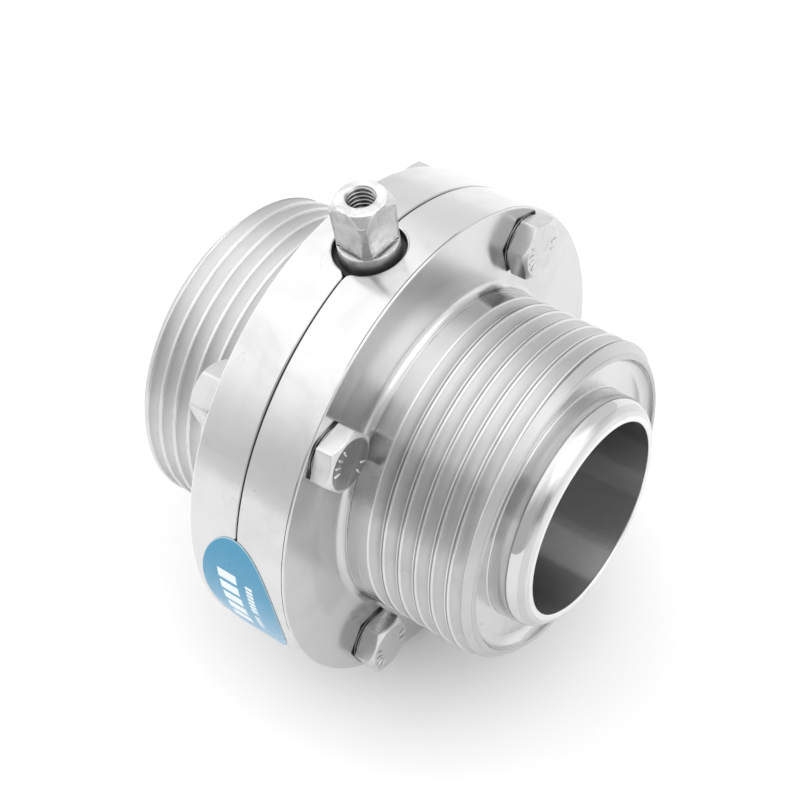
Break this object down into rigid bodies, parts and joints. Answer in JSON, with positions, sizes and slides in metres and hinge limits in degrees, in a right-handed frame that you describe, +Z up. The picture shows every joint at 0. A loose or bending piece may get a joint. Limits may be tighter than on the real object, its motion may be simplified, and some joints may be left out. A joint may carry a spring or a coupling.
{
  "type": "sanitary butterfly valve",
  "caption": "Sanitary butterfly valve: flanged stainless body halves bolted round a rubber seat and a pivoting disc, male threaded ends, square stem.",
  "frame": {"origin": "middle of the disc, where the pipe axis crosses the stem axis", "axes": "+X along the pipe towards the front half, +Z up the stem, +Y completes the right-handed frame"},
  "size_m": [0.0794, 0.0868, 0.0969],
  "materials": {
    "turned_steel": "turned and polished",
    "disc_steel": "machined, slightly worn",
    "fastener_steel": "cold forged, plain",
    "seat_rubber": "moulded, satin",
    "bush_plastic": "moulded, matt",
    "label_film": "printed film"
  },
  "bodies": {
    "body": {"front_body": "turned_steel", "rear_body": "turned_steel", "seat_ring": "seat_rubber", "upper_bush": "bush_plastic", "lower_bush": "bush_plastic", "bolt_1": "fastener_steel", "bolt_2": "fastener_steel", "bolt_3": "fastener_steel", "bolt_4": "fastener_steel", "nut_1": "fastener_steel", "nut_2": "fastener_steel", "nut_3": "fastener_steel", "nut_4": "fastener_steel", "label": "label_film"},
    "disc": {"valve_disc": "disc_steel"}
  },
  "joints": [
    {"name": "disc_turn", "type": "hinge", "parent": "body", "child": "disc", "pos_m": [0, 0, 0], "axis": [0, 0, 1], "range_deg": [0, 90]}
  ]
}
